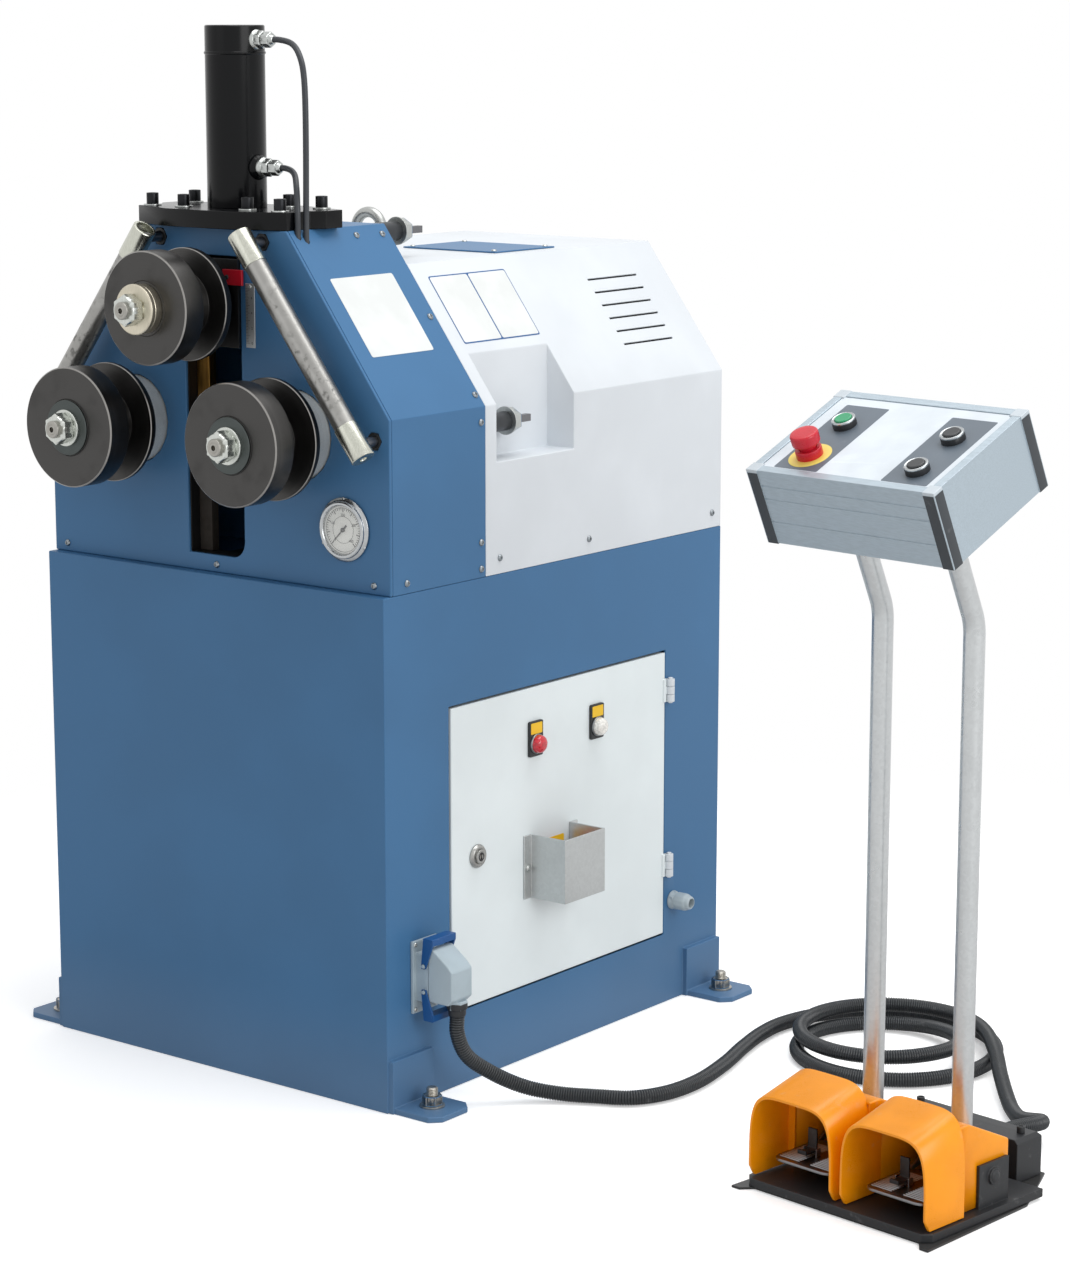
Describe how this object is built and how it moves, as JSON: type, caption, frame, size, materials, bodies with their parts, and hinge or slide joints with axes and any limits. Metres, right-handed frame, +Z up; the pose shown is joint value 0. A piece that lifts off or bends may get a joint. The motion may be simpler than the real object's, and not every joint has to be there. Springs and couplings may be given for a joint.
{
  "type": "ring roller",
  "caption": "A floor-standing three-roll hydraulic section bender with a blue cabinet, a pedestal console and a double foot switch on a corrugated hose.",
  "frame": {"origin": "centre of the cabinet's bottom, on the floor", "axes": "+X to the door side and the pedestal console, +Y to the back, -Y to the rolls, +Z up"},
  "size_m": [1.5474, 0.9556, 1.43],
  "materials": {
    "blue_paint": "semi-gloss",
    "white_paint": "semi-gloss",
    "black_paint": "gloss",
    "dark_steel": "turned",
    "turned_steel": "turned",
    "chrome_rod": "polished",
    "bronze": "worn",
    "zinc_plate": "zinc plated",
    "aluminium": "matt",
    "red_plastic": "gloss",
    "red_lens": "gloss",
    "white_lens": "gloss",
    "green_plastic": "gloss",
    "black_plastic": "matt",
    "amber_plastic": "gloss",
    "grey_plastic": "ribbed",
    "pale_plastic": "matt",
    "blue_plastic": "matt",
    "grey_casting": "painted",
    "hose_rubber": "matt"
  },
  "bodies": {
    "machine": {"base_cabinet": "blue_paint", "connector_base": "pale_plastic", "plug_hood": "pale_plastic", "cable_gland": "grey_plastic", "head_frame": "blue_paint", "front_cover": "blue_paint", "side_cover_left": "blue_paint", "side_cover_right": "blue_paint", "guide_strip": "bronze", "cylinder_barrel": "black_paint", "top_plate": "black_paint", "lower_pipe": "dark_steel", "upper_pipe": "dark_steel", "gauge_case": "black_paint", "position_scale": "aluminium", "rear_cover": "white_paint", "access_plate": "blue_paint", "lifting_eye": "zinc_plate", "gear_motor": "grey_casting", "power_unit": "grey_casting", "electrical_panel": "zinc_plate", "console_housing": "aluminium", "console_lid": "aluminium", "pedestal_frame": "zinc_plate", "foot_switch_base": "black_plastic", "junction_box": "black_plastic", "pedal_guard_left": "amber_plastic", "pedal_guard_right": "amber_plastic", "corrugated_hose": "hose_rubber"},
    "door": {"cabinet_door": "white_paint", "switch_guard": "zinc_plate", "lamp_red": "red_lens", "lamp_white": "white_lens"},
    "lock": {"door_lock": "dark_steel"},
    "switch": {"main_switch": "red_plastic"},
    "lever_upper": {"plug_lever_upper": "blue_plastic"},
    "lever_lower": {"plug_lever_lower": "blue_plastic"},
    "carriage": {"slide_block": "black_paint", "piston_rod": "chrome_rod"},
    "upper_roll": {"upper_shaft": "turned_steel", "upper_roll_front": "dark_steel", "upper_roll_rear": "dark_steel"},
    "lower_left_roll": {"lower_left_shaft": "turned_steel", "lower_left_roll_front": "dark_steel", "lower_left_roll_rear": "dark_steel"},
    "lower_right_roll": {"lower_right_shaft": "turned_steel", "lower_right_roll_front": "dark_steel", "lower_right_roll_rear": "dark_steel"},
    "pinion": {"drive_pinion": "turned_steel"},
    "bar_left": {"guide_bar_left": "turned_steel"},
    "bar_right": {"guide_bar_right": "turned_steel"},
    "needle": {"gauge_pointer": "red_plastic"},
    "stop_button": {"emergency_stop": "red_plastic"},
    "start": {"start_button": "green_plastic"},
    "up": {"button_up": "black_plastic"},
    "down": {"button_down": "black_plastic"},
    "foot_pedal_left": {"pedal_left": "grey_plastic"},
    "foot_pedal_right": {"pedal_right": "grey_plastic"},
    "foot_latch_left": {"latch_left": "black_plastic"},
    "foot_latch_right": {"latch_right": "black_plastic"}
  },
  "joints": [
    {"name": "carriage_slide", "type": "slide", "parent": "machine", "child": "carriage", "axis": [0, 0, 1], "range_m": [-0.105, 0]},
    {"name": "upper_roll_turn", "type": "hinge", "parent": "carriage", "child": "upper_roll", "pos_m": [0, -0.4, 1.067], "axis": [0, 1, 0], "continuous": true},
    {"name": "lower_left_turn", "type": "hinge", "parent": "machine", "child": "lower_left_roll", "pos_m": [-0.148, -0.4, 0.899], "axis": [0, 1, 0], "continuous": true},
    {"name": "lower_right_turn", "type": "hinge", "parent": "machine", "child": "lower_right_roll", "pos_m": [0.148, -0.4, 0.899], "axis": [0, 1, 0], "continuous": true},
    {"name": "pinion_turn", "type": "hinge", "parent": "machine", "child": "pinion", "pos_m": [0, -0.15, 0.899], "axis": [0, 1, 0], "continuous": true},
    {"name": "door_hinge", "type": "hinge", "parent": "machine", "child": "door", "pos_m": [0.3165, 0.25, 0.3], "axis": [0, 0, 1], "range_deg": [0, 95]},
    {"name": "lock_turn", "type": "hinge", "parent": "door", "child": "lock", "pos_m": [0.31, -0.193, 0.317], "axis": [1, 0, 0], "range_deg": [0, 90]},
    {"name": "switch_turn", "type": "hinge", "parent": "door", "child": "switch", "pos_m": [0.33, -0.03, 0.278], "axis": [1, 0, 0], "range_deg": [0, 90]},
    {"name": "lever_upper_turn", "type": "hinge", "parent": "machine", "child": "lever_upper", "pos_m": [0.331, -0.308, 0.197], "axis": [0, -1, 0], "range_deg": [0, 24]},
    {"name": "lever_lower_turn", "type": "hinge", "parent": "machine", "child": "lever_lower", "pos_m": [0.331, -0.308, 0.161], "axis": [0, 1, 0], "range_deg": [0, 24]},
    {"name": "bar_left_slide", "type": "slide", "parent": "machine", "child": "bar_left", "axis": [0, -1, 0], "range_m": [0, 0.03]},
    {"name": "bar_right_slide", "type": "slide", "parent": "machine", "child": "bar_right", "axis": [0, -1, 0], "range_m": [0, 0.03]},
    {"name": "needle_turn", "type": "hinge", "parent": "machine", "child": "needle", "pos_m": [0.233, -0.37, 0.782], "axis": [0, 1, 0], "range_deg": [0, 270]},
    {"name": "stop_press", "type": "slide", "parent": "machine", "child": "stop_button", "axis": [0.0512, 0.4147, -0.9085], "range_m": [0, 0.006]},
    {"name": "start_press", "type": "slide", "parent": "machine", "child": "start", "axis": [0.0512, 0.4147, -0.9085], "range_m": [0, 0.003], "stiffness_N_per_m": 400, "springref_m": -0.003},
    {"name": "up_press", "type": "slide", "parent": "machine", "child": "up", "axis": [0.0512, 0.4147, -0.9085], "range_m": [0, 0.003], "stiffness_N_per_m": 400, "springref_m": -0.003},
    {"name": "down_press", "type": "slide", "parent": "machine", "child": "down", "axis": [0.0512, 0.4147, -0.9085], "range_m": [0, 0.003], "stiffness_N_per_m": 400, "springref_m": -0.003},
    {"name": "pedal_left_press", "type": "hinge", "parent": "machine", "child": "foot_pedal_left", "pos_m": [0.9285, -0.1856, 0.052], "axis": [0.9925, -0.1226, 0], "range_deg": [0, 8], "stiffness_Nm_per_rad": 4, "springref_deg": -11.46},
    {"name": "pedal_right_press", "type": "hinge", "parent": "machine", "child": "foot_pedal_right", "pos_m": [1.0744, -0.2037, 0.052], "axis": [0.9925, -0.1226, 0], "range_deg": [0, 8], "stiffness_Nm_per_rad": 4, "springref_deg": -11.46},
    {"name": "latch_left_tip", "type": "hinge", "parent": "foot_pedal_left", "child": "foot_latch_left", "pos_m": [0.9051, -0.2613, 0.047], "axis": [-0.9925, 0.1226, 0], "range_deg": [0, 20], "stiffness_Nm_per_rad": 0.02, "springref_deg": -17.19},
    {"name": "latch_right_tip", "type": "hinge", "parent": "foot_pedal_right", "child": "foot_latch_right", "pos_m": [1.0509, -0.2794, 0.047], "axis": [-0.9925, 0.1226, 0], "range_deg": [0, 20], "stiffness_Nm_per_rad": 0.02, "springref_deg": -17.19}
  ],
  "couplings": [
    {"joint": "lower_right_turn", "follows": "lower_left_turn", "ratio": 1},
    {"joint": "pinion_turn", "follows": "lower_left_turn", "ratio": -2.3636}
  ]
}
